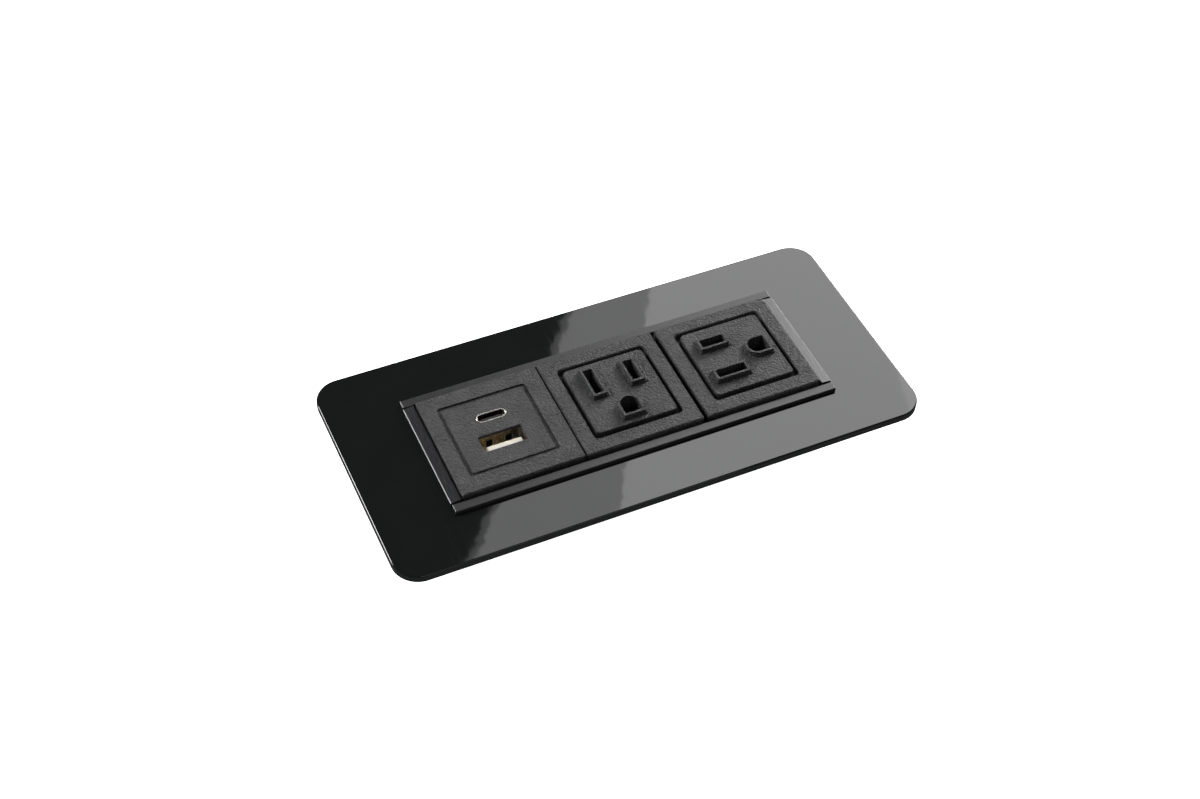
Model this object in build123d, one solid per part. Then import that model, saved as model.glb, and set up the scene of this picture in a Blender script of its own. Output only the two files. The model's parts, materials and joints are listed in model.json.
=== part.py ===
from build123d import *
import math
import os

# In-desk power module. Millimetres, +Z up, +X along the row of modules.
# The origin is on the housing's flat base, at the middle of the bezel plate.

# ---------------------------------------------------------------- driving dimensions
PLATE_LENGTH = 167.0
PLATE_WIDTH = 77.2
PLATE_THICKNESS = 2.4
PLATE_CORNER = 8.0
PLATE_EDGE_ROUND = 0.45
PLATE_TOP = 28.5
HOLE_HALF_X = 60.2
HOLE_HALF_Y = 21.2

WALL_IN = 19.5
WALL_OUT = 20.8
WALL_END = 57.9
WEB_THICKNESS = 1.8
RAIL_IN = 19.46
RAIL_OUT = 22.2
RAIL_HEIGHT = 1.37
RAIL_END = 61.1
PORT_Y = 17.0
PORT_Z = 4.2
PORT_RADIUS = 2.6
PORT_HOLE = 1.3

CAP_INNER = 58.0
CAP_OUTER = 60.0
CAP_TOP = 25.0
EAR_END = 71.0
EAR_HALF_Y = 9.0
EAR_THICKNESS = 2.7

ROW_END = 57.6
ROW_HALF_Y = 18.8
FACE_HEIGHT = 2.9
MODULE_TOP = PLATE_TOP + FACE_HEIGHT
FRAME_WALL = 1.2
FRAME_TOP_THICKNESS = 1.9
FRAME_BOTTOM = 23.0
SNAP_Z = 24.5
SNAP_DEPTH = 0.5

USB_X = -38.6
USB_WIDTH = 38.0
OUTLET_X = {1: -0.3, 2: 38.75}
OUTLET_TURN = {1: 0.0, 2: 90.0}
OUTLET_WIDTH = 37.6

TRIM_INNER = 58.0
TRIM_OUTER = 61.35
TRIM_HALF_Y = 18.85
TRIM_INNER_HEIGHT = 1.6
TRIM_OUTER_HEIGHT = 1.3
TONGUE_X = (58.15, 59.85)
TONGUE_HALF_Y = 18.6

RECESS = 28.5
RECESS_CORNER = 1.3
RECESS_MOUTH = 0.3
RECESS_SHIFT = (0.1, 0.2)
RECEPTACLE = 26.0
RECEPTACLE_CORNER = 1.4
RECEPTACLE_TOP = PLATE_TOP + 3.3
RIM_TOP = PLATE_TOP + 4.7
RIM_WALL = 0.85
RIM_STEP = 0.35
RIM_STEP_HEIGHT = 0.45
SLOT_LINE = 5.1
SLOT_SPACING = 12.7
SLOT_WIDTH = 2.9
NEUTRAL_LENGTH = 9.6
HOT_LENGTH = 7.8
GROUND_RADIUS = 2.83
GROUND_CENTRE = SLOT_LINE - 11.89
GROUND_FLAT = SLOT_LINE - 15.2

FLANGE_HALF = 17.2
FLANGE_BOTTOM = 27.9
BODY_HALF = 16.4
BODY_TOP = 27.8
BODY_BOTTOM = 7.6
POCKET_BOTTOM = 9.5
SHUTTER_Z = (25.6, 27.4)
SHUTTER_IN = 4.45
SHUTTER_OUT = 8.45
SHUTTER_TRAVEL = 3.5
SHUTTER_PLAY = 0.15

INSERT_SIZE = (28.0, 27.4)
INSERT_AT = (-39.1, 0.2)
INSERT_CORNER = 1.2
INSERT_GAP = 0.08
INSERT_BORDER = 1.1
INSERT_BORDER_DEPTH = 0.45
INSERT_TOP = MODULE_TOP - 0.05
USB_C_AT = (-39.0, 5.8)
USB_A_AT = (-39.1, -3.45)
USB_A_MOUTH = (13.4, 6.1)
USB_A_SHELL = (13.7, 6.4)
USB_A_TONGUE = (11.1, 1.9)
USB_A_TONGUE_Y = -1.45
SHELL_WALL = 0.3

BOARD_THICKNESS = 1.6
PORT_BOARD_Z = 21.0
POWER_BOARD_Z = 10.6
BOARD_HALF = 15.2

WIRE_RADIUS = 1.1
LIVE_Z = 5.6
EARTH_Z = 3.05
WIRE_ENTRY_BEND = 3.0
LIVE_TAIL_END = LIVE_Z + WIRE_RADIUS + 0.05
EARTH_TAIL_END = EARTH_Z + WIRE_RADIUS + 0.05
WIRE_START_GAP = 0.35
WIRE_ENTRY = {"hot": (-30.0, 9.0), "neutral": (-30.0, 3.0)}
WIRE_VIA = {
    "hot": [(15.0, 5.4), (4.0, 7.2), (-8.0, 9.6)],
    "neutral": [(13.0, -3.0), (-1.5, 4.5), (-11.5, 5.6)],
}
EARTH_END = (-11.0, -0.4)
LUG_REACH = 8.5

GLAND_Y = -7.5
GLAND_Z = 8.5
GLAND_THREAD = 5.0
GLAND_FLATS = 12.0
NUT_END = 55.5
SEAL_RADIUS = 4.05
CORD_RADIUS = 3.25

CLAMP_X = 66.0
CLAMP_Y = 8.0
CLAMP_BOSS_BOTTOM = 19.0
M4_RADIUS = 2.0
M4_HOLE = 2.05
DOG_Z = (4.0, 6.5)
DOG_REACH = 77.0
DOG_HALF_WIDTH = 5.0
SCREW_HEAD_Z = (1.0, 3.4)
SCREW_TOP = PLATE_TOP - PLATE_THICKNESS - 0.3
CLIP_Z = (SCREW_TOP - 0.9, SCREW_TOP - 0.35)
CLIP_GROOVE_RADIUS = 1.6
SIDES = {"left": -1, "right": 1}


# ---------------------------------------------------------------- helpers
def block(x0, x1, y0, y1, z0, z1):
    """A box between two corners."""
    size = Box(abs(x1 - x0), abs(y1 - y0), abs(z1 - z0))
    return Pos((x0 + x1) / 2, (y0 + y1) / 2, (z0 + z1) / 2) * size


def slab(width, depth, z0, z1, corner=0.0, x=0.0, y=0.0):
    """An upright slab with rounded corners, from z0 to z1."""
    outline = RectangleRounded(width, depth, corner) if corner else Rectangle(width, depth)
    return Pos(x, y, z0) * extrude(outline, z1 - z0)


def stadium(length, width, z0, z1, x=0.0, y=0.0):
    """A slab with half-round ends."""
    return Pos(x, y, z0) * extrude(SlotOverall(length, width), z1 - z0)


def upright(radius, z0, z1, x=0.0, y=0.0):
    """A cylinder along Z."""
    return Pos(x, y, (z0 + z1) / 2) * Cylinder(radius, z1 - z0)


def lying(radius, x0, x1, y, z):
    """A cylinder along X."""
    return Pos((x0 + x1) / 2, y, z) * Rot(0, 90, 0) * Cylinder(radius, abs(x1 - x0))


def hexagon_x(across_flats, x0, x1, y, z):
    """A hexagonal prism along X with a flat facing down."""
    radius = across_flats / math.sqrt(3)
    outline = RegularPolygon(radius, 6, rotation=30)
    return Pos(x0, y, z) * Rot(0, 90, 0) * extrude(outline, x1 - x0)


def prism_y(points, y0, y1):
    """A profile given as (x, z) points, run along Y."""
    outline = Plane.XZ * Polygon(*points, align=None)
    return Pos(0, y0, 0) * extrude(outline, y1 - y0, dir=(0, 1, 0))


def prism_x(points, x0, x1):
    """A profile given as (y, z) points, run along X."""
    outline = Plane.YZ * Polygon(*points, align=None)
    return Pos(x0, 0, 0) * extrude(outline, x1 - x0, dir=(1, 0, 0))


def bevelled(outline, z0, z1, inset):
    """A slab whose sides lean in by inset at the top."""
    taper = math.degrees(math.atan2(inset, z1 - z0))
    return Pos(0, 0, z0) * extrude(outline, z1 - z0, taper=taper)


def top_edges(part, z):
    """The edges that lie wholly at height z."""
    return part.edges().filter_by_position(Axis.Z, z - 0.01, z + 0.01)


def save(part, node):
    """Write one sub-part."""
    part.label = node
    export_step(part, "parts/" + node + ".step")


def turned(part, angle):
    """A copy turned about Z."""
    return Rot(0, 0, angle) * part


# ---------------------------------------------------------------- plate, channel and ends
def bezel_plate():
    bottom = PLATE_TOP - PLATE_THICKNESS
    plate = slab(PLATE_LENGTH, PLATE_WIDTH, bottom, PLATE_TOP, PLATE_CORNER)
    plate = fillet(top_edges(plate, PLATE_TOP), PLATE_EDGE_ROUND)
    hole = slab(2 * HOLE_HALF_X, 2 * HOLE_HALF_Y, bottom - 1, PLATE_TOP + 1, 1.0)
    return plate - hole


def desk_gasket():
    top = PLATE_TOP - PLATE_THICKNESS
    inset, ring, thickness = 2.0, 8.0, 1.0
    outer = slab(PLATE_LENGTH - 2 * inset, PLATE_WIDTH - 2 * inset, top - thickness, top, 6.5)
    inner = slab(
        PLATE_LENGTH - 2 * (inset + ring), PLATE_WIDTH - 2 * (inset + ring), top - 2, top + 1, 1.5
    )
    return outer - inner


def channel_extrusion():
    """U channel: web, two walls with a snap groove, two rails and two screw ports."""
    part = block(-WALL_END, WALL_END, -WALL_OUT, WALL_OUT, 0, WEB_THICKNESS)
    for side in (-1, 1):
        part += block(-WALL_END, WALL_END, side * WALL_IN, side * WALL_OUT, 0, PLATE_TOP + 0.5)
        rail = block(
            -RAIL_END, RAIL_END, side * RAIL_IN, side * RAIL_OUT, PLATE_TOP, PLATE_TOP + RAIL_HEIGHT
        )
        part += chamfer(top_edges(rail, PLATE_TOP + RAIL_HEIGHT), 0.15)
        part += lying(PORT_RADIUS, -WALL_END, WALL_END, side * PORT_Y, PORT_Z)
        groove = SNAP_DEPTH + 0.15
        part -= block(
            -RAIL_END, RAIL_END, side * WALL_IN, side * (WALL_IN + groove), SNAP_Z - 0.9, SNAP_Z + 0.9
        )
    for side in (-1, 1):
        part -= lying(PORT_HOLE, -WALL_END - 1, WALL_END + 1, side * PORT_Y, PORT_Z)
    edge = part.edges().filter_by(Axis.X).filter_by_position(Axis.Z, -0.01, 0.01)
    return chamfer(edge, 0.4)


def end_cap(side):
    """Closes one end of the channel; its ear bears up under the plate and carries the clamp."""
    part = block(CAP_INNER, CAP_OUTER, -WALL_OUT, WALL_OUT, 0, CAP_TOP)
    for edge_y in (-1, 1):
        part += block(CAP_INNER, CAP_OUTER, edge_y * 19.1, edge_y * WALL_OUT, 0, PLATE_TOP - 0.2)
    plate_bottom = PLATE_TOP - PLATE_THICKNESS
    ear_top = plate_bottom - 0.05
    part += block(CAP_OUTER, EAR_END, -EAR_HALF_Y - 5, EAR_HALF_Y + 5, ear_top - EAR_THICKNESS, ear_top)
    for rib_y in (-13.0, -3.0, 3.0, 13.0):
        rib = [
            (CAP_OUTER - 0.2, ear_top - EAR_THICKNESS + 0.2),
            (EAR_END - 2, ear_top - EAR_THICKNESS + 0.2),
            (CAP_OUTER - 0.2, ear_top - EAR_THICKNESS - 5),
        ]
        part += prism_y(rib, rib_y - 0.6, rib_y + 0.6)
    part += upright(4.0, CLAMP_BOSS_BOTTOM, ear_top - 1, CLAMP_X, CLAMP_Y)
    part -= upright(M4_HOLE, 0, PLATE_TOP, CLAMP_X, CLAMP_Y)
    part -= upright(3.3, ear_top - 1.6, PLATE_TOP, CLAMP_X, CLAMP_Y)
    for screw_y in (-PORT_Y, PORT_Y):
        part -= lying(1.7, CAP_INNER - 1, CAP_OUTER + 1, screw_y, PORT_Z)
    if side > 0:
        part -= lying(GLAND_THREAD + 0.05, CAP_INNER - 1, CAP_OUTER + 1, GLAND_Y, GLAND_Z)
    return part if side > 0 else turned(part, 180)


def end_trim(side):
    """Strip between the rails' ends: its top falls a little outwards, and a tongue enters the end cap."""
    round_off = 0.2
    profile = [
        (TRIM_INNER, PLATE_TOP - 0.2),
        (TRIM_INNER, PLATE_TOP + TRIM_INNER_HEIGHT - round_off),
        (TRIM_INNER + round_off, PLATE_TOP + TRIM_INNER_HEIGHT),
        (TRIM_OUTER - round_off, PLATE_TOP + TRIM_OUTER_HEIGHT),
        (TRIM_OUTER, PLATE_TOP + TRIM_OUTER_HEIGHT - round_off),
        (TRIM_OUTER, PLATE_TOP + 0.02),
        (CAP_OUTER, PLATE_TOP + 0.02),
        (CAP_OUTER, PLATE_TOP - 0.2),
    ]
    part = prism_y(profile, -TRIM_HALF_Y, TRIM_HALF_Y)
    part += block(*TONGUE_X, -TONGUE_HALF_Y, TONGUE_HALF_Y, CAP_TOP + 0.1, PLATE_TOP)
    return part if side > 0 else turned(part, 180)


def end_cap_screws():
    """Four thread-forming pan head screws, M3, with a cross recess."""
    screws = []
    for side in (-1, 1):
        for screw_y in (-PORT_Y, PORT_Y):
            screw = lying(1.25, CAP_OUTER - 12, CAP_OUTER + 0.5, screw_y, PORT_Z)
            head = lying(2.8, CAP_OUTER + 0.02, CAP_OUTER + 2.1, screw_y, PORT_Z)
            head = fillet(head.edges().filter_by_position(Axis.X, CAP_OUTER + 2, CAP_OUTER + 3), 0.8)
            recess = cross_recess(CAP_OUTER + 2.1, screw_y, PORT_Z)
            screws.append(turned(screw + head - recess, 0 if side > 0 else 180))
    return Compound(screws)


def cross_recess(x, y, z):
    """Cross slot cut into a head that faces +X."""
    reach, width, depth = 1.4, 0.6, 1.1
    slot = block(x - depth, x + 1, y - reach, y + reach, z - width / 2, z + width / 2)
    return slot + block(x - depth, x + 1, y - width / 2, y + width / 2, z - reach, z + reach)


# ---------------------------------------------------------------- module frames
def module_frame(width, centre_x, hole):
    """Square module frame: top wall with a hole, skirt and snap ribs for the channel's groove."""
    depth = 2 * ROW_HALF_Y
    frame = slab(width, depth, FRAME_BOTTOM, MODULE_TOP, 0.5)
    frame = chamfer(top_edges(frame, MODULE_TOP), 0.35)
    inner = slab(
        width - 2 * FRAME_WALL,
        depth - 2 * FRAME_WALL,
        FRAME_BOTTOM - 1,
        MODULE_TOP - FRAME_TOP_THICKNESS,
    )
    frame -= inner
    for side in (-1, 1):
        for rib_x in (-10.0, 10.0):
            rib = [
                (side * (ROW_HALF_Y - 0.2), SNAP_Z - 0.7),
                (side * (ROW_HALF_Y + 0.3), SNAP_Z - 0.5),
                (side * (WALL_IN + SNAP_DEPTH), SNAP_Z + 0.5),
                (side * (WALL_IN + SNAP_DEPTH), SNAP_Z + 0.7),
                (side * (ROW_HALF_Y - 0.2), SNAP_Z + 0.7),
            ]
            frame += prism_x(rib, rib_x - 4, rib_x + 4)
    return Pos(centre_x, 0, 0) * (frame - hole)


def recess_hole():
    """Square recess of a receptacle, with a fine chamfer at its mouth."""
    low = MODULE_TOP - FRAME_TOP_THICKNESS - 1
    outline = RectangleRounded(RECESS, RECESS, RECESS_CORNER)
    hole = Pos(0, 0, low) * extrude(outline, MODULE_TOP + 1 - low)
    hole += Pos(0, 0, MODULE_TOP - RECESS_MOUTH) * extrude(outline, 2 * RECESS_MOUTH, taper=-45)
    return Pos(*RECESS_SHIFT, 0) * hole


def insert_slab(margin, z0, z1, corner):
    """A slab over the port panel's area, less a margin on every side."""
    width, depth = INSERT_SIZE
    return slab(width - 2 * margin, depth - 2 * margin, z0, z1, corner, *INSERT_AT)


def usb_frame():
    """Frame with a through hole for the port panel."""
    hole = insert_slab(0, FRAME_BOTTOM, MODULE_TOP + 1, INSERT_CORNER)
    return module_frame(USB_WIDTH, USB_X, Pos(-USB_X, 0, 0) * hole)


# ---------------------------------------------------------------- charging module
def usb_insert():
    """Port panel with a sunk border, an oval hole and a rectangular one."""
    border_top = MODULE_TOP - INSERT_BORDER_DEPTH
    part = insert_slab(INSERT_GAP, FLANGE_BOTTOM, border_top, INSERT_CORNER)
    centre = insert_slab(INSERT_BORDER, border_top - 0.1, INSERT_TOP, 0.6)
    part += fillet(top_edges(centre, INSERT_TOP), 0.15)
    flange_top = MODULE_TOP - FRAME_TOP_THICKNESS - 0.05
    part += slab(2 * FLANGE_HALF, 2 * FLANGE_HALF, FLANGE_BOTTOM, flange_top, 0.5, USB_X, 0)
    part -= stadium(9.5, 3.6, 20, 40, *USB_C_AT)
    part -= slab(*USB_A_MOUTH, 20, 40, 0.5, *USB_A_AT)
    shell_x, shell_y = USB_A_SHELL
    return part - slab(shell_x + 0.2, shell_y + 0.2, 20, usb_a_top() + 0.05, 0.6, *USB_A_AT)


def usb_a_top():
    """The steel shell stops under the panel's face, which hides its edge."""
    return MODULE_TOP - 1.0


def usb_case():
    """Open-topped box for the power supply, with two wire holes in its floor."""
    half, wall = BODY_HALF, 1.2
    part = slab(2 * half, 2 * half, BODY_BOTTOM, BODY_TOP, 0.8, USB_X)
    inside = 2 * (half - wall)
    part -= slab(inside, inside, BODY_BOTTOM + 1.4, BODY_TOP + 1, 0.5, USB_X)
    for entry in WIRE_ENTRY.values():
        part -= upright(WIRE_RADIUS + 0.5, 0, 15, *entry)
    for corner_x in (-1, 1):
        for corner_y in (-1, 1):
            post_x = USB_X + corner_x * 13.6
            part += upright(1.2, BODY_BOTTOM + 1, POWER_BOARD_Z, post_x, corner_y * 13.6)
    return part


def usb_c_shell():
    x, y = USB_C_AT
    top, bottom = INSERT_TOP + 0.12, PORT_BOARD_Z + BOARD_THICKNESS
    tube = stadium(9.3, 3.4, bottom, top, x, y) - stadium(8.5, 2.6, bottom + 0.5, top + 1, x, y)
    return fillet(top_edges(tube, top), 0.12)


def usb_c_tongue():
    x, y = USB_C_AT
    top, bottom = INSERT_TOP - 1.0, PORT_BOARD_Z + BOARD_THICKNESS + 0.5
    return slab(6.7, 0.7, bottom, top, 0.3, x, y)


def usb_c_contacts():
    """Two rows of flat contacts on the oval port's tongue."""
    x, y = USB_C_AT
    top, bottom = INSERT_TOP - 1.4, PORT_BOARD_Z + BOARD_THICKNESS + 0.5
    count, pitch, width, thickness = 12, 0.5, 0.26, 0.06
    strips = []
    for index in range(count):
        strip_x = x + (index - (count - 1) / 2) * pitch
        for side in (-1, 1):
            near = y + side * 0.36
            strips.append(
                block(strip_x - width / 2, strip_x + width / 2, near, near + side * thickness, bottom, top)
            )
    return Compound(strips)


def usb_a_shell():
    """Folded steel shell with two spring fingers pressed into its broad back side."""
    x, y = USB_A_AT
    top, bottom = usb_a_top(), PORT_BOARD_Z + BOARD_THICKNESS
    length, width = USB_A_SHELL
    part = slab(length, width, bottom, top, 0.6, x, y)
    part -= slab(length - 2 * SHELL_WALL, width - 2 * SHELL_WALL, bottom + 0.4, top + 1, 0.3, x, y)
    back = y + width / 2
    for finger_x in (-3.0, 3.0):
        part -= block(x + finger_x - 1, x + finger_x + 1, back - 0.6, back + 1, top - 4.6, top - 1.6)
    return part


def usb_a_tongue():
    x, y = USB_A_AT
    top, bottom = INSERT_TOP - 1.1, PORT_BOARD_Z + BOARD_THICKNESS + 0.4
    tongue = slab(*USB_A_TONGUE, bottom, top, 0.4, x, y + USB_A_TONGUE_Y)
    return chamfer(top_edges(tongue, top), 0.25)


def usb_a_contacts():
    """Four contact strips on the back of the rectangular port's tongue."""
    x, y = USB_A_AT
    top, bottom = INSERT_TOP - 1.5, PORT_BOARD_Z + BOARD_THICKNESS + 0.4
    near = y + USB_A_TONGUE_Y + USB_A_TONGUE[1] / 2 + 0.01
    strips = []
    for strip_x in (-3.5, -1.0, 1.0, 3.5):
        strips.append(block(x + strip_x - 0.5, x + strip_x + 0.5, near, near + 0.2, bottom, top))
    return Compound(strips)


def board(z, half_y=BOARD_HALF - 0.3):
    return slab(2 * BOARD_HALF - 0.6, 2 * half_y, z, z + BOARD_THICKNESS, 1.0, USB_X)


def power_board():
    part = board(POWER_BOARD_Z)
    for entry in WIRE_ENTRY.values():
        part -= upright(0.7, 5, 15, *entry)
    return part


def board_pins():
    """Row of pins that joins the two boards."""
    pins = []
    for index in range(6):
        pin_y = -7.5 + index * 2.54
        low, high = POWER_BOARD_Z + BOARD_THICKNESS, PORT_BOARD_Z
        pins.append(block(USB_X - 13.4, USB_X - 12.8, pin_y, pin_y + 0.6, low, high))
    return Compound(pins)


def transformer():
    """Ferrite core halves round a taped winding."""
    base, x, y = POWER_BOARD_Z + BOARD_THICKNESS, USB_X - 3.0, 5.5
    part = slab(13.0, 11.0, base, base + 7.6, 0.6, x, y)
    part -= block(x - 4.3, x + 4.3, y - 6, y - 3.6, base + 1.4, base + 6.2)
    part -= block(x - 4.3, x + 4.3, y + 3.6, y + 6, base + 1.4, base + 6.2)
    winding = stadium(12.2, 8.4, base + 1.5, base + 6.1, x, y)
    return part + winding


def bulk_capacitors():
    """Two electrolytic cans lying on the power board."""
    base, cans = POWER_BOARD_Z + BOARD_THICKNESS, []
    for can_y, radius, length in ((-4.4, 3.4, 14.0), (-11.4, 3.0, 12.0)):
        can = lying(radius, USB_X - 10, USB_X - 10 + length, can_y, base + radius + 0.3)
        cans.append(fillet(can.edges(), 0.5))
    return Compound(cans)


def choke_coil():
    base = POWER_BOARD_Z + BOARD_THICKNESS
    drum = upright(3.2, base, base + 6.5, USB_X + 10.5, -8.5)
    waist = upright(3.6, base + 1.2, base + 5.3, USB_X + 10.5, -8.5)
    core = upright(2.2, base, base + 6.5, USB_X + 10.5, -8.5)
    return drum - waist + core + (upright(3.0, base + 1.3, base + 5.2, USB_X + 10.5, -8.5))


def controller_chips():
    """Chips on the port board's underside."""
    low = PORT_BOARD_Z - 1.1
    return Compound(
        [
            slab(5, 5, low, PORT_BOARD_Z, 0, USB_X + 9, 7),
            slab(4, 5, low, PORT_BOARD_Z, 0, USB_X + 9, -2),
            slab(3, 3, low, PORT_BOARD_Z, 0, USB_X + 9, 12.5),
        ]
    )


# ---------------------------------------------------------------- receptacles
# Each receptacle is drawn about its own centre with its ground hole towards -Y,
# the long neutral slot on the left and the short hot slot on the right.
SLOTS = {"hot": (1, HOT_LENGTH), "neutral": (-1, NEUTRAL_LENGTH)}


def slot_outline(length, grow):
    return Rectangle(SLOT_WIDTH + 2 * grow, length + 2 * grow)


def ground_outline(grow):
    """D shape: a half-round towards the slots and a flat towards -Y."""
    radius = GROUND_RADIUS + grow
    flat = GROUND_FLAT - grow - GROUND_CENTRE
    straight = Pos(0, flat / 2) * Rectangle(2 * radius, -flat)
    return Circle(radius) + straight


def rim_shapes(grow):
    """The outlines of the three openings, grown by a margin, in their places."""
    shapes = []
    for side, length in SLOTS.values():
        shapes.append(Pos(side * SLOT_SPACING / 2, SLOT_LINE) * slot_outline(length, grow))
    shapes.append(Pos(0, GROUND_CENTRE) * ground_outline(grow))
    return shapes


def receptacle_face():
    """Face with a stepped rim round each opening."""
    flange_top = MODULE_TOP - FRAME_TOP_THICKNESS - 0.05
    face = slab(RECEPTACLE, RECEPTACLE, flange_top - 0.5, RECEPTACLE_TOP, RECEPTACLE_CORNER)
    face = fillet(top_edges(face, RECEPTACLE_TOP), 0.35)
    face += slab(2 * FLANGE_HALF, 2 * FLANGE_HALF, FLANGE_BOTTOM, flange_top, 0.5)
    for shape in rim_shapes(RIM_WALL + RIM_STEP):
        face += bevelled(shape, RECEPTACLE_TOP - 0.1, RECEPTACLE_TOP + RIM_STEP_HEIGHT, 0.1)
    for shape in rim_shapes(RIM_WALL):
        face += bevelled(shape, RECEPTACLE_TOP - 0.1, RIM_TOP, 0.15)
    for shape in rim_shapes(0):
        face -= Pos(0, 0, FLANGE_BOTTOM - 1) * extrude(shape, 10)
    return face


def receptacle_body():
    """Moulded block with a pocket for each contact and a track for each shutter."""
    part = slab(2 * BODY_HALF, 2 * BODY_HALF, BODY_BOTTOM, BODY_TOP, 0.8)
    for side, length in SLOTS.values():
        x = side * SLOT_SPACING / 2
        part -= slab(5.0, 9.6, POCKET_BOTTOM, BODY_TOP, 0, x, SLOT_LINE)
        part -= slab(1.2, 3.4, 0, POCKET_BOTTOM + 1, 0, x, SLOT_LINE)
        near = side * (SHUTTER_IN - SHUTTER_PLAY)
        far = side * (SHUTTER_OUT + SHUTTER_TRAVEL + SHUTTER_PLAY)
        half = length / 2 + 0.6 + SHUTTER_PLAY
        track = (SHUTTER_Z[0] - SHUTTER_PLAY, BODY_TOP + 1)
        part -= block(near, far, SLOT_LINE - half, SLOT_LINE + half, *track)
    part -= slab(7.4, 6.6, POCKET_BOTTOM, BODY_TOP + 1, 0, 0, GROUND_CENTRE - 0.2)
    part -= slab(3.4, 1.2, 0, POCKET_BOTTOM + 1, 0, 0, GROUND_CENTRE)
    return part


def shutter(side, length):
    """Sliding gate under one slot, with a ramp that a blade pushes outwards."""
    low, high = SHUTTER_Z
    near, far = side * SHUTTER_IN, side * SHUTTER_OUT
    ramp_end = side * (SHUTTER_IN + 1.9)
    profile = [(near, low), (far, low), (far, high), (ramp_end, high), (near, low + 0.6)]
    half = length / 2 + 0.6
    return prism_y(profile, SLOT_LINE - half, SLOT_LINE + half)


def blade_contact(side):
    """Brass contact: two spring leaves with flared mouths and a tail to the wire."""
    x = side * SLOT_SPACING / 2
    half, thickness, gap = 3.2, 0.6, 0.7
    base, mouth = POCKET_BOTTOM + 0.1, 23.8
    outer = gap + thickness
    part = block(x - outer, x + outer, SLOT_LINE - half, SLOT_LINE + half, base, base + 0.8)
    for leaf in (-1, 1):
        profile = [
            (x + leaf * (gap + thickness), base),
            (x + leaf * (gap + thickness), mouth - 2.5),
            (x + leaf * (gap + thickness + 0.6), mouth),
            (x + leaf * (gap + 0.7), mouth),
            (x + leaf * gap, mouth - 2.3),
            (x + leaf * gap, base),
        ]
        part += prism_y(profile, SLOT_LINE - half, SLOT_LINE + half)
    return part + slab(0.8, 3.0, LIVE_TAIL_END, base + 0.1, 0, x, SLOT_LINE)


def ground_contact():
    """Brass contact with two broad leaves either side of the round pin."""
    half, thickness, gap = 2.4, 0.6, 2.55
    base, mouth = POCKET_BOTTOM + 0.1, 25.2
    y = GROUND_CENTRE
    part = block(-gap - thickness, gap + thickness, y - half, y + half, base, base + 0.8)
    for leaf in (-1, 1):
        part += block(leaf * gap, leaf * (gap + thickness), y - half, y + half, base, mouth)
    return part + slab(3.0, 0.8, EARTH_TAIL_END, base + 0.1, 0, 0, y)


def placed(part, number):
    """Put a receptacle piece in its module."""
    shift_x, shift_y = RECESS_SHIFT
    return Pos(OUTLET_X[number] + shift_x, shift_y, 0) * turned(part, OUTLET_TURN[number])


def tail_at(number, x, y):
    """Where a contact's tail comes down, in the row's own frame."""
    angle = math.radians(OUTLET_TURN[number])
    turned_x = x * math.cos(angle) - y * math.sin(angle)
    turned_y = x * math.sin(angle) + y * math.cos(angle)
    shift_x, shift_y = RECESS_SHIFT
    return OUTLET_X[number] + shift_x + turned_x, shift_y + turned_y


# ---------------------------------------------------------------- wiring
BLOCK_X = (48.6, 54.4)
BLOCK_HALF_Y = 12.0
BLOCK_Z = (1.9, 7.2)
WIRE_Y = {"hot": 8.0, "ground": 0.0, "neutral": -8.0}


def wire(points, bends):
    """A round insulated wire: straight runs joined by tangent arcs."""
    path = FilletPolyline(*points, radius=bends)
    start = path @ 0
    heading = path % 0
    return sweep(Plane(origin=start, z_dir=heading) * Circle(WIRE_RADIUS), path)


def bend_radii(points, last=None):
    """0.45 of the shorter run over the tangent of half the turn, at every corner."""
    radii = []
    for before, corner, after in zip(points, points[1:], points[2:]):
        into = Vector(*corner) - Vector(*before)
        out = Vector(*after) - Vector(*corner)
        turn = math.radians(into.get_angle(out))
        radii.append(0.45 * min(into.length, out.length) / math.tan(turn / 2))
    if last:
        radii[-1] = last
    return radii


def live_wire(kind):
    """A wire from the terminal block past both contact tails, then up into the charging module."""
    side = SLOTS[kind][0]
    x2, y2 = tail_at(2, side * SLOT_SPACING / 2, SLOT_LINE)
    entry_x, entry_y = WIRE_ENTRY[kind]
    flat = [(BLOCK_X[0] - WIRE_START_GAP, WIRE_Y[kind]), (x2 + 8, y2), (x2 - 7, y2)]
    flat += WIRE_VIA[kind]
    flat += [(entry_x + 9, entry_y), (entry_x, entry_y)]
    points = [(x, y, LIVE_Z) for x, y in flat]
    points.append((entry_x, entry_y, POWER_BOARD_Z - 0.1))
    radii = bend_radii(points, last=WIRE_ENTRY_BEND)
    print(kind, "wire bend radii", [round(r, 1) for r in radii])
    return wire(points, radii)


def earth_end():
    """Where the ground wire meets its lug."""
    x1, y1 = tail_at(1, 0, GROUND_CENTRE)
    return x1 + EARTH_END[0], y1 + EARTH_END[1]


def ground_wire():
    """From the terminal block past both ground tails to the bonding lug."""
    x2, y2 = tail_at(2, 0, GROUND_CENTRE)
    x1, y1 = tail_at(1, 0, GROUND_CENTRE)
    flat = [
        (BLOCK_X[0] - WIRE_START_GAP, WIRE_Y["ground"]),
        (x2 - 9, y2 - 0.3),
        (x2 - 27, y1 + 1.5),
        (x1 + 6, y1),
        earth_end(),
    ]
    points = [(x, y, EARTH_Z) for x, y in flat]
    radii = bend_radii(points)
    print("ground wire bend radii", [round(r, 1) for r in radii])
    return wire(points, radii)


def bonding_place():
    """The middle of the lug's ring, over the web's tapped hole."""
    end_x, end_y = earth_end()
    return end_x - LUG_REACH, end_y


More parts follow.
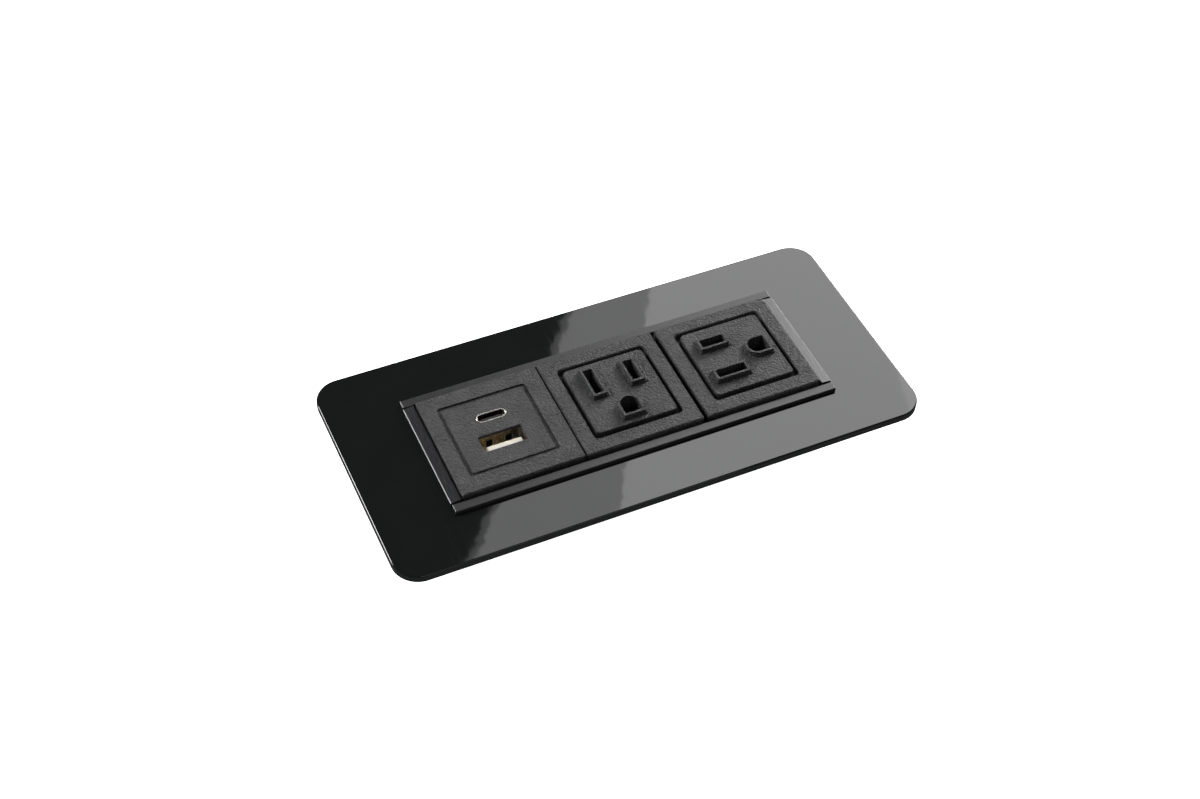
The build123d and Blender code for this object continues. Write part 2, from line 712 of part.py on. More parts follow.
def ground_lug():
    """Ring terminal: a crimped barrel and a flat ring on the channel's web."""
    end_x, y = earth_end()
    end_x -= 0.05
    base = WEB_THICKNESS + 0.02
    part = slab(7.0, 3.0, base, base + 0.8, 0, end_x - 4.2, y)
    part += upright(3.2, base, base + 0.8, *bonding_place())
    part += lying(1.25, end_x - 4.5, end_x, y, EARTH_Z)
    return part - upright(1.6, 0, 10, *bonding_place())


def bonding_screw():
    """Short machine screw through the lug; the web's tapped hole takes it."""
    x, y = bonding_place()
    seat = WEB_THICKNESS + 0.85
    head = upright(2.7, seat, seat + 1.7, x, y)
    head = fillet(top_edges(head, seat + 1.7), 0.6)
    slot = block(x - 3, x + 3, y - 0.35, y + 0.35, seat + 0.9, seat + 3)
    return head + upright(1.45, 0.3, seat + 0.1, x, y) - slot


def bonding_hole():
    return upright(1.5, -1, WEB_THICKNESS + 1, *bonding_place())


def terminal_block():
    """Three-way block for the supply cord's cores."""
    part = block(*BLOCK_X, -BLOCK_HALF_Y, BLOCK_HALF_Y, *BLOCK_Z)
    middle = sum(BLOCK_X) / 2
    for terminal_y in WIRE_Y.values():
        part -= upright(1.9, BLOCK_Z[1] - 2.5, BLOCK_Z[1] + 1, middle, terminal_y)
        part -= lying(1.3, middle, BLOCK_X[1] + 1, terminal_y, 3.9)
    for notch_y in (-4.0, 4.0):
        part -= block(BLOCK_X[0] - 1, BLOCK_X[1] + 1, notch_y - 0.5, notch_y + 0.5, BLOCK_Z[1] - 2, 9)
    return part


def terminal_screws():
    middle, screws = sum(BLOCK_X) / 2, []
    for terminal_y in WIRE_Y.values():
        top = BLOCK_Z[1] - 0.2
        screw = upright(1.8, BLOCK_Z[1] - 2.4, top, middle, terminal_y)
        slot = block(middle - 2, middle + 2, terminal_y - 0.3, terminal_y + 0.3, top - 0.8, top + 1)
        screws.append(screw - slot)
    return Compound(screws)


# ---------------------------------------------------------------- cord gland
def gland_part(radius, x0, x1):
    """A round piece on the gland's axis."""
    return lying(radius, x0, x1, GLAND_Y, GLAND_Z)


def gland_hexagon(x0, x1):
    return hexagon_x(GLAND_FLATS, x0, x1, GLAND_Y, GLAND_Z)


def gland_body():
    """Threaded stub through the end cap, hexagon and front thread; the seal sits in its mouth."""
    part = gland_part(GLAND_THREAD, NUT_END, CAP_OUTER + 1)
    part += gland_hexagon(CAP_OUTER + 0.02, CAP_OUTER + 3)
    part += gland_part(4.7, CAP_OUTER + 2, CAP_OUTER + 7)
    part -= gland_part(CORD_RADIUS + 0.6, NUT_END - 1, CAP_OUTER + 4)
    return part - gland_part(SEAL_RADIUS + 0.05, CAP_OUTER + 3, CAP_OUTER + 8)


def gland_locknut():
    part = gland_hexagon(NUT_END + 0.1, CAP_INNER - 0.1)
    return part - gland_part(GLAND_THREAD + 0.02, NUT_END, CAP_INNER)


def gland_seal():
    end = CAP_OUTER + 8.6
    part = gland_part(SEAL_RADIUS, CAP_OUTER + 3.1, end)
    part = chamfer(part.edges().filter_by_position(Axis.X, end - 0.1, end + 0.1), 0.6)
    return part - gland_part(CORD_RADIUS, CAP_OUTER, end + 1)


def gland_cap():
    """Domed clamping nut with six grip flats."""
    start, shoulder, end = CAP_OUTER + 3.3, CAP_OUTER + 7.5, CAP_OUTER + 10.8
    part = gland_hexagon(start, shoulder)
    dome = gland_part(5.6, shoulder - 1, end)
    dome = fillet(dome.edges().filter_by_position(Axis.X, end - 0.01, end + 0.01), 1.2)
    part += dome
    part -= gland_part(4.72, start - 1, CAP_OUTER + 9)
    return part - gland_part(CORD_RADIUS + 0.7, start - 1, end + 1)


# ---------------------------------------------------------------- clamps
def clamp_dog(side):
    """Steel tab with a tapped hole and two upturned teeth that bite under the desk."""
    low, high = DOG_Z
    part = block(
        CAP_OUTER + 0.4, DOG_REACH, CLAMP_Y - DOG_HALF_WIDTH, CLAMP_Y + DOG_HALF_WIDTH, low, high
    )
    part = fillet(part.edges().filter_by(Axis.Z).sort_by(Axis.X)[-2:], 2.0)
    for tooth_y in (-2.6, 2.6):
        tooth = [(DOG_REACH - 2.6, high - 0.1), (DOG_REACH - 0.6, high - 0.1), (DOG_REACH - 0.6, high + 1.6)]
        part += prism_y(tooth, CLAMP_Y + tooth_y - 0.9, CLAMP_Y + tooth_y + 0.9)
    part -= upright(M4_HOLE, 0, 20, CLAMP_X, CLAMP_Y)
    return part if side > 0 else turned(part, 180)


def clamp_screw(side):
    """M4 screw with its head downwards, journalled in the ear's boss, grooved for its clip."""
    low, high = SCREW_HEAD_Z
    part = upright(M4_RADIUS, high - 0.4, SCREW_TOP, CLAMP_X, CLAMP_Y)
    head = upright(3.9, low, high, CLAMP_X, CLAMP_Y)
    head = fillet(top_edges(head, low), 0.8)
    reach, half_width, depth = 2.3, 0.45, 1.2
    for half_x, half_y in ((reach, half_width), (half_width, reach)):
        head -= slab(2 * half_x, 2 * half_y, 0, low + depth, 0, CLAMP_X, CLAMP_Y)
    part += head
    groove_low, groove_high = CLIP_Z[0] - 0.05, CLIP_Z[1] + 0.05
    groove = upright(M4_RADIUS + 1, groove_low, groove_high, CLAMP_X, CLAMP_Y)
    groove -= upright(CLIP_GROOVE_RADIUS, groove_low - 1, groove_high + 1, CLAMP_X, CLAMP_Y)
    part -= groove
    return part if side > 0 else turned(part, 180)


def clamp_clip(side):
    """Open retaining ring in the screw's groove."""
    part = upright(3.0, *CLIP_Z, CLAMP_X, CLAMP_Y)
    part -= upright(CLIP_GROOVE_RADIUS + 0.02, 0, PLATE_TOP, CLAMP_X, CLAMP_Y)
    part -= block(CLAMP_X, CLAMP_X + 4, CLAMP_Y - 1.1, CLAMP_Y + 1.1, 0, PLATE_TOP)
    return part if side > 0 else turned(part, 180)


# ---------------------------------------------------------------- all the pieces
def all_pieces():
    pieces = {
        "bezel_plate": bezel_plate(),
        "desk_gasket": desk_gasket(),
        "channel_extrusion": channel_extrusion() - bonding_hole(),
        "end_cap_screws": end_cap_screws(),
        "usb_frame": usb_frame(),
        "usb_insert": usb_insert(),
        "usb_case": usb_case(),
        "usb_c_shell": usb_c_shell(),
        "usb_c_tongue": usb_c_tongue(),
        "usb_c_contacts": usb_c_contacts(),
        "usb_a_shell": usb_a_shell(),
        "usb_a_tongue": usb_a_tongue(),
        "usb_a_contacts": usb_a_contacts(),
        "port_board": board(PORT_BOARD_Z),
        "power_board": power_board(),
        "board_pins": board_pins(),
        "transformer": transformer(),
        "bulk_capacitors": bulk_capacitors(),
        "choke_coil": choke_coil(),
        "controller_chips": controller_chips(),
        "hot_wire": live_wire("hot"),
        "neutral_wire": live_wire("neutral"),
        "ground_wire": ground_wire(),
        "ground_lug": ground_lug(),
        "bonding_screw": bonding_screw(),
        "terminal_block": terminal_block(),
        "terminal_screws": terminal_screws(),
        "gland_body": gland_body(),
        "gland_locknut": gland_locknut(),
        "gland_seal": gland_seal(),
        "gland_cap": gland_cap(),
    }
    for name, side in SIDES.items():
        pieces["end_cap_" + name] = end_cap(side)
        pieces["end_trim_" + name] = end_trim(side)
        pieces["clamp_dog_" + name] = clamp_dog(side)
        pieces["clamp_screw_" + name] = clamp_screw(side)
        pieces["clamp_clip_" + name] = clamp_clip(side)
    for number in OUTLET_X:
        prefix = "outlet_" + str(number) + "_"
        pieces[prefix + "frame"] = module_frame(OUTLET_WIDTH, OUTLET_X[number], recess_hole())
        pieces[prefix + "face"] = placed(receptacle_face(), number)
        pieces[prefix + "body"] = placed(receptacle_body(), number)
        pieces[prefix + "ground_contact"] = placed(ground_contact(), number)
        for kind, (side, length) in SLOTS.items():
            pieces[prefix + kind + "_contact"] = placed(blade_contact(side), number)
            pieces[prefix + kind + "_shutter"] = placed(shutter(side, length), number)
    return pieces


os.makedirs("parts", exist_ok=True)
for node, piece in all_pieces().items():
    save(piece, node)
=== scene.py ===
import json
import math

import bmesh
import bpy
from mathutils import Matrix, Vector, noise


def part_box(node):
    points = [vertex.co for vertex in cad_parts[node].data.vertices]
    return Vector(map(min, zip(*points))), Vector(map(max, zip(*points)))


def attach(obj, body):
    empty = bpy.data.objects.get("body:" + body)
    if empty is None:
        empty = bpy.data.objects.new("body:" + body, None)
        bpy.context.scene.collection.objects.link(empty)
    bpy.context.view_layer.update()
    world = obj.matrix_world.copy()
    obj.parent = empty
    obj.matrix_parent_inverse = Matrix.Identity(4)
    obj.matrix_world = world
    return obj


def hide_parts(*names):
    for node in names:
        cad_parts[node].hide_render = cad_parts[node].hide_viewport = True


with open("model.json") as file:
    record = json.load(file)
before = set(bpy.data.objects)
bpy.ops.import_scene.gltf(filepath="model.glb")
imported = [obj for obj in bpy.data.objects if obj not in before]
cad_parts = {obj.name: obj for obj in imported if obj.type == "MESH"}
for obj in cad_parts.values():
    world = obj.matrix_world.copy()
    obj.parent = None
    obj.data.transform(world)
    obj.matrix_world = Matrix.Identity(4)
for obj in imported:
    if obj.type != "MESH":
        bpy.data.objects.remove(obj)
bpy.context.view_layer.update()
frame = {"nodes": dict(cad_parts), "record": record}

# In-desk power module: procedural materials on the CAD nodes, a foam gasket in place of the plain
# CAD ring, a studio and the camera. Metres, in the frame of the CAD model.

MM = 0.001
NODES = frame["nodes"]
PLATE_LOW, PLATE_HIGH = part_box("bezel_plate")
PLATE_TOP = PLATE_HIGH.z
HOUSING = "housing"

# ---------------------------------------------------------------- camera
CAMERA_AZIMUTH = -27.73
CAMERA_ELEVATION = 48.37
CAMERA_ROLL = 4.04
CAMERA_DISTANCE = 0.531
CAMERA_LENS = 53.7
CAMERA_SENSOR = 36.0
CAMERA_NEAR = 0.01
CAMERA_AIM = Vector((-0.0058, 0.0016, PLATE_TOP))


def camera_axes():
    """Right, up and forward of the camera, with its roll."""
    azimuth, elevation = math.radians(CAMERA_AZIMUTH), math.radians(CAMERA_ELEVATION)
    forward = Vector(
        (
            -math.sin(azimuth) * math.cos(elevation),
            math.cos(azimuth) * math.cos(elevation),
            -math.sin(elevation),
        )
    )
    level = forward.cross(Vector((0, 0, 1))).normalized()
    lift = level.cross(forward)
    roll = math.radians(CAMERA_ROLL)
    right = level * math.cos(roll) + lift * math.sin(roll)
    return right, right.cross(forward), forward


def add_camera():
    right, up, forward = camera_axes()
    data = bpy.data.cameras.new("view")
    data.lens = CAMERA_LENS
    data.sensor_width = CAMERA_SENSOR
    data.clip_start = CAMERA_NEAR
    camera = bpy.data.objects.new("view", data)
    bpy.context.scene.collection.objects.link(camera)
    turn = Matrix((right, up, -forward)).transposed().to_4x4()
    camera.matrix_world = Matrix.Translation(CAMERA_AIM - forward * CAMERA_DISTANCE) @ turn
    bpy.context.scene.camera = camera


# ---------------------------------------------------------------- shader helpers
class Shader:
    """A node tree with one Principled shader, and short calls for the nodes round it."""

    def __init__(self, name, colour, roughness, **sockets):
        self.material = bpy.data.materials.new(name)
        self.material.use_nodes = True
        self.tree = self.material.node_tree
        self.shader = self.tree.nodes["Principled BSDF"]
        self.shader.inputs["Base Color"].default_value = (*colour, 1)
        self.shader.inputs["Roughness"].default_value = roughness
        for socket, value in sockets.items():
            self.shader.inputs[socket.replace("_", " ")].default_value = value
        self.coordinates = self.add("ShaderNodeTexCoord").outputs["Object"]

    def add(self, kind, **settings):
        node = self.tree.nodes.new(kind)
        for key, value in settings.items():
            setattr(node, key, value)
        return node

    def link(self, output, target):
        self.tree.links.new(output, target)

    def stretched(self, scale):
        """Object coordinates scaled apart in X, Y and Z."""
        mapping = self.add("ShaderNodeMapping")
        mapping.inputs["Scale"].default_value = scale
        self.link(self.coordinates, mapping.inputs["Vector"])
        return mapping.outputs["Vector"]

    def noise(self, scale, detail=3.0, roughness=0.55, vector=None, distortion=0.0):
        node = self.add("ShaderNodeTexNoise")
        node.inputs["Scale"].default_value = scale
        node.inputs["Detail"].default_value = detail
        node.inputs["Roughness"].default_value = roughness
        node.inputs["Distortion"].default_value = distortion
        self.link(vector or self.coordinates, node.inputs["Vector"])
        return node.outputs["Fac"]

    def cells(self, scale, feature="SMOOTH_F1", vector=None):
        node = self.add("ShaderNodeTexVoronoi", feature=feature)
        node.inputs["Scale"].default_value = scale
        self.link(vector or self.coordinates, node.inputs["Vector"])
        return node.outputs["Distance"]

    def ramp(self, value, *stops):
        """A colour ramp from (place, colour or grey) stops."""
        node = self.add("ShaderNodeValToRGB")
        elements = node.color_ramp.elements
        while len(elements) < len(stops):
            elements.new(0.5)
        for element, (place, colour) in zip(elements, stops):
            element.position = place
            shade = colour if isinstance(colour, tuple) else (colour,) * 3
            element.color = (*shade, 1)
        self.link(value, node.inputs["Fac"])
        return node.outputs["Color"]

    def maths(self, operation, first, second):
        node = self.add("ShaderNodeMath", operation=operation)
        for index, value in enumerate((first, second)):
            if isinstance(value, (int, float)):
                node.inputs[index].default_value = value
            else:
                self.link(value, node.inputs[index])
        return node.outputs["Value"]

    def colour(self, output):
        self.link(output, self.shader.inputs["Base Color"])

    def roughness(self, output):
        self.link(output, self.shader.inputs["Roughness"])

    def bump(self, height, distance, strength=1.0, onto=None):
        node = self.add("ShaderNodeBump")
        node.inputs["Strength"].default_value = strength
        node.inputs["Distance"].default_value = distance
        self.link(height, node.inputs["Height"])
        if onto:
            self.link(onto, node.inputs["Normal"])
        self.link(node.outputs["Normal"], self.shader.inputs["Normal"])
        return node.outputs["Normal"]


def speckle(shader, colour, spread, scale):
    """Slight colour variation about a base colour."""
    low = tuple(max(0.0, c * (1 - spread)) for c in colour)
    high = tuple(min(1.0, c * (1 + spread)) for c in colour)
    shader.colour(shader.ramp(shader.noise(scale, 4.0), (0.3, low), (0.7, high)))


# ---------------------------------------------------------------- materials
def glossy_plate():
    """Polished black sheet: faint ripple, finest hairline marks."""
    shader = Shader("plate_black", (0.006, 0.007, 0.007), 0.03, IOR=1.5)
    speckle(shader, (0.006, 0.007, 0.0068), 0.12, 60)
    marks = shader.noise(900, 2.0, vector=shader.stretched((1, 0.02, 1)))
    shader.roughness(shader.ramp(marks, (0.45, 0.022), (0.75, 0.05)))
    shader.bump(shader.noise(35, 1.0), 0.00002, 0.06)
    return shader.material


def grained(name, colour, grain, depth, roughness):
    """Moulded plastic with a leather-like grain: rounded pebbles between fine creases, with painted shade
    in the creases and a painted highlight on the pebble crests.
    """
    shader = Shader(name, colour, roughness)
    pebbles = shader.cells(grain)
    fine = shader.noise(grain * 1.6, 3.0, distortion=0.6)
    height = shader.maths("ADD", shader.maths("MULTIPLY", pebbles, -1.0), fine)
    patches = shader.noise(130, 3.0)
    # Colour follows the grain's height plus random patches: painted shade down in the creases, a painted
    # highlight on the crests, and real random tone from the patches.
    painted_shade_and_tone = shader.maths("ADD", shader.maths("MULTIPLY", height, 0.5), patches)
    painted_crease_shade = tuple(c * 0.55 for c in colour)
    painted_crest_highlight = tuple(c * 1.5 for c in colour)
    shader.colour(shader.ramp(painted_shade_and_tone, (0.25, painted_crease_shade), (0.85, painted_crest_highlight)))
    shader.roughness(shader.ramp(fine, (0.3, roughness - 0.07), (0.7, roughness + 0.08)))
    shader.bump(height, depth, 1.0)
    return shader.material


def smooth_plastic(name, colour, roughness, grain=2600, depth=0.000008):
    shader = Shader(name, colour, roughness)
    speckle(shader, colour, 0.1, 300)
    shader.roughness(shader.ramp(shader.noise(120, 3.0), (0.3, roughness - 0.04), (0.7, roughness + 0.06)))
    shader.bump(shader.noise(grain, 2.0), depth, 1.0)
    return shader.material


def satin_metal(name, colour, roughness, metallic=0.0, stretch=(0.03, 1, 1), depth=0.000004):
    """Anodised or plated metal with fine drawing lines along one axis."""
    shader = Shader(name, colour, roughness, Metallic=metallic)
    lines = shader.noise(5200, 3.0, vector=shader.stretched(stretch))
    low = tuple(c * 0.9 for c in colour)
    high = tuple(min(1.0, c * 1.12) for c in colour)
    shader.colour(shader.ramp(lines, (0.3, low), (0.7, high)))
    shader.roughness(shader.ramp(lines, (0.25, roughness - 0.05), (0.75, roughness + 0.07)))
    shader.bump(lines, depth, 1.0)
    return shader.material


def bright_metal(name, colour, roughness):
    shader = Shader(name, colour, roughness, Metallic=1.0)
    smears = shader.noise(900, 4.0, vector=shader.stretched((0.3, 1, 0.15)))
    shader.roughness(shader.ramp(smears, (0.3, roughness * 0.7), (0.75, roughness * 1.6)))
    shader.colour(shader.ramp(smears, (0.2, tuple(c * 0.88 for c in colour)), (0.8, colour)))
    shader.bump(shader.noise(1500, 2.0), 0.000004, 0.6)
    return shader.material


def foam():
    shader = Shader("gasket_foam", (0.022, 0.022, 0.024), 0.92)
    pores = shader.cells(3200, "F1")
    # Colour darker at the pore centres: painted shade in the pore hollows.
    shader.colour(shader.ramp(pores, (0.05, (0.006, 0.006, 0.007)), (0.45, (0.034, 0.034, 0.036))))
    shader.bump(pores, 0.00012, 0.8)
    return shader.material


def circuit_board():
    """Solder mask with lighter tracks under it."""
    shader = Shader("board_green", (0.02, 0.11, 0.05), 0.35)
    tracks = shader.cells(420, "DISTANCE_TO_EDGE")
    shader.colour(shader.ramp(tracks, (0.04, (0.03, 0.17, 0.08)), (0.09, (0.015, 0.09, 0.04))))
    shader.bump(tracks, 0.00003, 0.4)
    return shader.material


def make_materials():
    """One material for each slot of the record."""
    return {
        "plate_black": glossy_plate(),
        "gasket_foam": foam(),
        "rail_black": satin_metal("rail_black", (0.02, 0.02, 0.021), 0.3),
        "trim_black": satin_metal("trim_black", (0.028, 0.028, 0.03), 0.26, 0.0, (1, 0.03, 1)),
        "cap_black": grained("cap_black", (0.02, 0.02, 0.021), 1300, 0.00008, 0.5),
        "module_black": grained("module_black", (0.034, 0.034, 0.035), 1500, 0.0004, 0.42),
        "panel_black": grained("panel_black", (0.032, 0.032, 0.033), 1700, 0.00034, 0.42),
        "case_black": smooth_plastic("case_black", (0.012, 0.012, 0.012), 0.5),
        "port_steel": bright_metal("port_steel", (0.8, 0.78, 0.74), 0.16),
        "port_gold": bright_metal("port_gold", (0.86, 0.62, 0.25), 0.25),
        "tongue_white": smooth_plastic("tongue_white", (0.82, 0.78, 0.68), 0.35),
        "tongue_black": smooth_plastic("tongue_black", (0.012, 0.012, 0.012), 0.4),
        "board_green": circuit_board(),
        "ferrite": smooth_plastic("ferrite", (0.05, 0.05, 0.055), 0.6),
        "can_sleeve": smooth_plastic("can_sleeve", (0.02, 0.035, 0.09), 0.3),
        "copper": satin_metal("copper", (0.72, 0.33, 0.14), 0.35, 1.0, (1, 1, 0.05)),
        "chip_black": smooth_plastic("chip_black", (0.018, 0.018, 0.018), 0.55),
        "contact_brass": bright_metal("contact_brass", (0.75, 0.55, 0.25), 0.3),
        "shutter_black": smooth_plastic("shutter_black", (0.006, 0.006, 0.006), 0.35),
        "wire_black": smooth_plastic("wire_black", (0.02, 0.02, 0.02), 0.4),
        "wire_white": smooth_plastic("wire_white", (0.75, 0.75, 0.72), 0.4),
        "wire_green": smooth_plastic("wire_green", (0.02, 0.22, 0.06), 0.4),
        "tin": bright_metal("tin", (0.7, 0.7, 0.7), 0.3),
        "screw_steel": bright_metal("screw_steel", (0.62, 0.63, 0.66), 0.28),
        "terminal_grey": smooth_plastic("terminal_grey", (0.45, 0.45, 0.43), 0.45),
        "gland_black": smooth_plastic("gland_black", (0.018, 0.018, 0.018), 0.42),
        "seal_rubber": smooth_plastic("seal_rubber", (0.015, 0.015, 0.015), 0.8),
        "clamp_zinc": bright_metal("clamp_zinc", (0.66, 0.63, 0.52), 0.35),
    }


def dress_nodes(materials):
    """Give every CAD node the material of its slot in the record."""
    slots = {entry["node"]: entry["material_slot"] for entry in frame["record"]["subparts"]}
    for node, piece in NODES.items():
        piece.data.materials.clear()
        piece.data.materials.append(materials[slots[node]])


# Width in millimetres of the rounded edge on each node that has one.
EDGE_WIDTHS = {
    "usb_frame": 0.2,
    "outlet_1_frame": 0.2,
    "outlet_2_frame": 0.2,
    "usb_insert": 0.2,
    "outlet_1_face": 0.16,
    "outlet_2_face": 0.16,
    "end_trim_left": 0.16,
    "end_trim_right": 0.16,
    "usb_a_shell": 0.12,
}
EDGE_SHARPER_THAN = math.radians(40)


def round_edges():
    """Fine rounded edges, kept out of the CAD meshes by a modifier."""
    for node, width in EDGE_WIDTHS.items():
        bevel = NODES[node].modifiers.new("edge_round", "BEVEL")
        bevel.width = width * MM
        bevel.segments = 2
        bevel.limit_method = "ANGLE"
        bevel.angle_limit = EDGE_SHARPER_THAN
        bevel.harden_normals = False


# ---------------------------------------------------------------- detailed pieces
def add_mesh(name, vertices, faces, material, smooth=True):
    mesh = bpy.data.meshes.new(name)
    mesh.from_pydata([tuple(v) for v in vertices], [], faces)
    mesh.validate()
    working = bmesh.new()
    working.from_mesh(mesh)
    bmesh.ops.recalc_face_normals(working, faces=working.faces)
    working.to_mesh(mesh)
    working.free()
    if smooth:
        mesh.shade_smooth()
    mesh.materials.append(material)
    piece = bpy.data.objects.new(name, mesh)
    bpy.context.scene.collection.objects.link(piece)
    return piece


def rounded_loop(half_x, half_y, corner, z, per_corner=10):
    """Points round a rectangle with round corners."""
    points = []
    for quarter, (sign_x, sign_y) in enumerate(((1, 1), (-1, 1), (-1, -1), (1, -1))):
        centre_x, centre_y = sign_x * (half_x - corner), sign_y * (half_y - corner)
        for step in range(per_corner + 1):
            angle = math.pi / 2 * (quarter + step / per_corner)
            points.append((centre_x + corner * math.cos(angle), centre_y + corner * math.sin(angle), z))
    return points


def join_loops(loops, closed):
    """Quads between loops of equal length, the last joined to the first if closed."""
    count = len(loops[0])
    vertices = [point for loop in loops for point in loop]
    faces = []
    for index in range(len(loops) if closed else len(loops) - 1):
        following = (index + 1) % len(loops)
        for step in range(count):
            ahead = (step + 1) % count
            corners = (index, step), (index, ahead), (following, ahead), (following, step)
            faces.append(tuple(row * count + column for row, column in corners))
    return vertices, faces


def foam_gasket(material):
    """Foam ring whose cut sides belly out a little where the plate squeezes it."""
    low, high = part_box("desk_gasket")
    ring, belly = 8 * MM, 0.25 * MM
    outer_corner, inner_corner = 6.5 * MM, 1.5 * MM
    middle, half_height = (low.z + high.z) / 2, (high.z - low.z) / 2
    section = []
    steps = 8
    for step in range(steps + 1):
        angle = math.pi * (0.5 - step / steps)
        section.append((belly * (1 - math.cos(angle)), middle + half_height * math.sin(angle)))
    for step in range(steps + 1):
        angle = math.pi * (-0.5 + step / steps)
        section.append((ring - belly * (1 - math.cos(angle)), middle + half_height * math.sin(angle)))
    loops = []
    for inset, z in section:
        radius = max(inner_corner, outer_corner - inset)
        loops.append(rounded_loop(high.x - inset, high.y - inset, radius, z))
    piece = add_mesh("foam_gasket", *join_loops(loops, True), material)
    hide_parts("desk_gasket")
    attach(piece, HOUSING)


# ---------------------------------------------------------------- studio
FLOOR_GLOW = 1.25
FLOOR_REACH = 6.0
WORLD_DIM = 0.1
WORLD_SEEN = 1.0


def sheet_object(name, corners, material):
    mesh = bpy.data.meshes.new(name)
    mesh.from_pydata([tuple(c) for c in corners], [], [tuple(range(len(corners)))])
    item = bpy.data.objects.new(name, mesh)
    item.data.materials.append(material)
    bpy.context.scene.collection.objects.link(item)
    return item


def add_floor():
    """White floor, bright enough to show no shadow and left out of reflections."""
    shader = Shader("floor", (0.9, 0.9, 0.9), 0.9)
    shader.shader.inputs["Emission Color"].default_value = (1, 1, 1, 1)
    shader.shader.inputs["Emission Strength"].default_value = FLOOR_GLOW
    reach = FLOOR_REACH
    corners = [(-reach, -reach, 0), (reach, -reach, 0), (reach, reach, 0), (-reach, reach, 0)]
    floor = sheet_object("floor", corners, shader.material)
    floor.visible_glossy = False


# The soft box that the plate mirrors, as lines across the plate's top: each joins a point at the
# back to a point at the front, and the band from one line to the next has one brightness.
BOX_DISTANCE = 1.1
BOX_LINES = (
    (Vector((-0.0048, 0.033, PLATE_TOP)), Vector((-0.0580, -0.031, PLATE_TOP))),
    (Vector((-0.0022, 0.033, PLATE_TOP)), Vector((-0.0555, -0.031, PLATE_TOP))),
    (Vector((0.0255, 0.033, PLATE_TOP)), Vector((-0.0138, -0.031, PLATE_TOP))),
    (Vector((0.1000, 0.033, PLATE_TOP)), Vector((0.0800, -0.031, PLATE_TOP))),
    (Vector((0.4500, 0.033, PLATE_TOP)), Vector((0.4200, -0.031, PLATE_TOP))),
)
BOX_GLOWS = (1.1, 2.6, 4.5, 5.4)
# How far each line wanders to the left and right of straight, in metres on the plate.
BOX_RAGGED = (0.0016, 0.0016 * 0.9, 0.0016 * 0.6, 0, 0)
# Each line runs this many times its own half length to either side of its middle.
BOX_REACH = 2.6
BOX_STEPS = 240


def mirrored(point):
    """Where the soft box is seen in the plate at a point of the plate's top."""
    right, up, forward = camera_axes()
    eye = CAMERA_AIM - forward * CAMERA_DISTANCE
    image = Vector((eye.x, eye.y, 2 * PLATE_TOP - eye.z))
    normal = Vector((forward.x, forward.y, -forward.z))
    ray = point - image
    along = (BOX_DISTANCE + (CAMERA_AIM - image).dot(normal)) / ray.dot(normal)
    return image + ray * along


def box_line(back, front, ragged):
    """Points of one line, run on past the plate at both ends, with brush-like tongues if ragged."""
    points = []
    middle, half = (back + front) / 2, (back - front) / 2
    for step in range(BOX_STEPS + 1):
        place = BOX_REACH * (2 * step / BOX_STEPS - 1)
        point = middle + half * place
        wave = noise.noise(Vector((place * 9, ragged * 400, 0.4)))
        fringe = noise.noise(Vector((place * 34, ragged * 900, 7.7)))
        point.x += ragged * (1.6 * wave + 0.8 * fringe)
        points.append(mirrored(point))
    return points


def glow_material(name, strength):
    material = bpy.data.materials.new(name)
    material.use_nodes = True
    tree = material.node_tree
    tree.nodes.clear()
    glow = tree.nodes.new("ShaderNodeEmission")
    glow.inputs["Strength"].default_value = strength
    output = tree.nodes.new("ShaderNodeOutputMaterial")
    tree.links.new(glow.outputs["Emission"], output.inputs["Surface"])
    return material


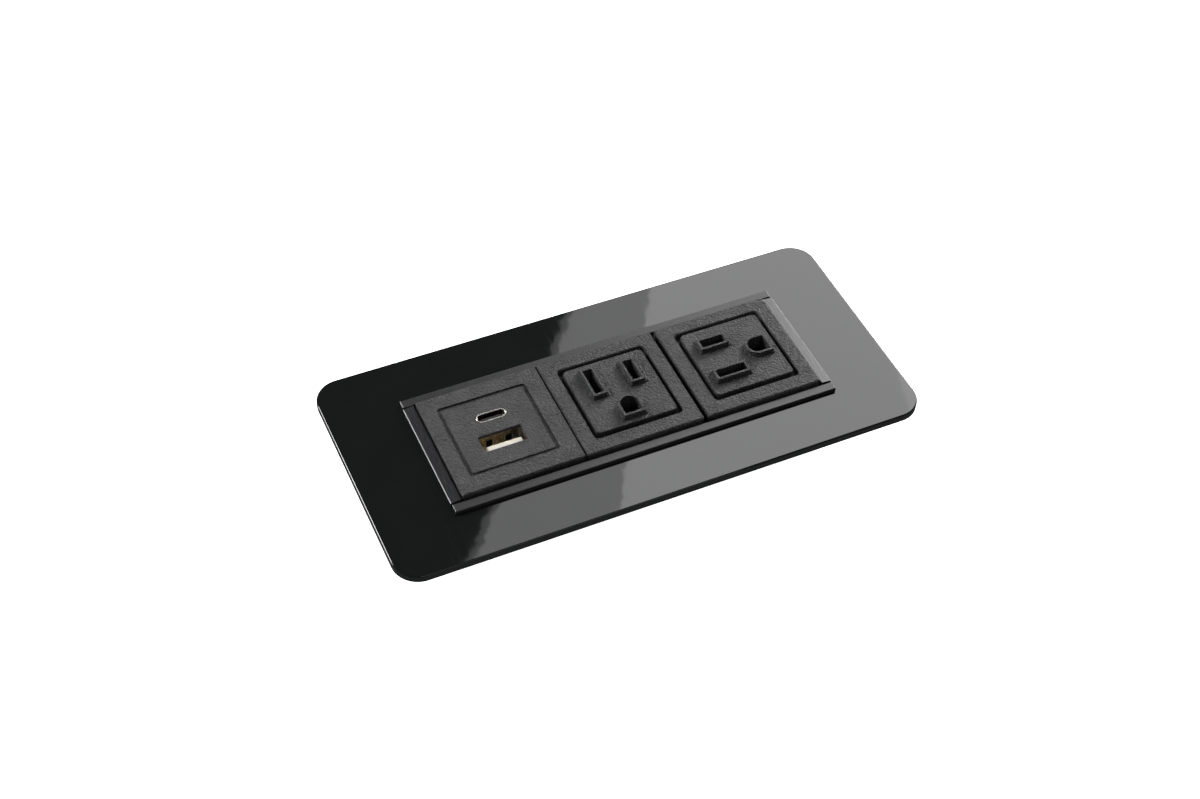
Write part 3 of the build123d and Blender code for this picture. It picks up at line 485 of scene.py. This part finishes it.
def add_soft_box():
    """Bands of light over the right and back, with a ragged left edge as the plate shows it."""
    rows = [box_line(back, front, ragged) for (back, front), ragged in zip(BOX_LINES, BOX_RAGGED)]
    for index, strength in enumerate(BOX_GLOWS):
        near, far = rows[index], rows[index + 1]
        corners = near + far[::-1]
        mesh = bpy.data.meshes.new("soft_box_" + str(index))
        count = len(near)
        faces = [(k, k + 1, 2 * count - 2 - k, 2 * count - 1 - k) for k in range(count - 1)]
        mesh.from_pydata([tuple(c) for c in corners], [], faces)
        mesh.materials.append(glow_material(mesh.name, strength))
        band = bpy.data.objects.new(mesh.name, mesh)
        bpy.context.scene.collection.objects.link(band)
        band.visible_camera = False


def add_world():
    """Dim for reflections and light, pale where the camera sees it."""
    world = bpy.data.worlds.new("studio")
    bpy.context.scene.world = world
    world.use_nodes = True
    tree = world.node_tree
    dim = tree.nodes["Background"]
    dim.inputs["Color"].default_value = (WORLD_DIM,) * 3 + (1,)
    seen = tree.nodes.new("ShaderNodeBackground")
    seen.inputs["Color"].default_value = (WORLD_SEEN,) * 3 + (1,)
    mix = tree.nodes.new("ShaderNodeMixShader")
    path = tree.nodes.new("ShaderNodeLightPath")
    tree.links.new(path.outputs["Is Camera Ray"], mix.inputs["Fac"])
    tree.links.new(dim.outputs["Background"], mix.inputs[1])
    tree.links.new(seen.outputs["Background"], mix.inputs[2])
    tree.links.new(mix.outputs["Shader"], tree.nodes["World Output"].inputs["Surface"])


def add_area(name, place, aim, size, power):
    data = bpy.data.lights.new(name, "AREA")
    data.shape = "RECTANGLE"
    data.size, data.size_y = size
    data.energy = power
    lamp = bpy.data.objects.new(name, data)
    bpy.context.scene.collection.objects.link(lamp)
    lamp.location = place
    lamp.rotation_euler = (aim - place).to_track_quat("-Z", "Y").to_euler()


def add_lights():
    """Two low strips that the rounded left and right edges pick up, and a weak front fill."""
    centre = Vector((0, 0, PLATE_TOP))
    add_area("edge_left", Vector((-0.85, 0.65, 0.5)), centre, (0.3, 0.5), 14.0)
    add_area("edge_right", Vector((1.0, 0.75, 0.45)), centre, (0.3, 0.3), 9.0)
    add_area("fill_front", Vector((0.1, -1.1, 0.9)), centre, (0.9, 0.6), 2.0)


# ---------------------------------------------------------------- build
add_camera()
materials = make_materials()
dress_nodes(materials)
round_edges()
foam_gasket(materials["gasket_foam"])
add_floor()
add_world()
add_soft_box()
add_lights()
bpy.context.scene.view_settings.view_transform = "Standard"
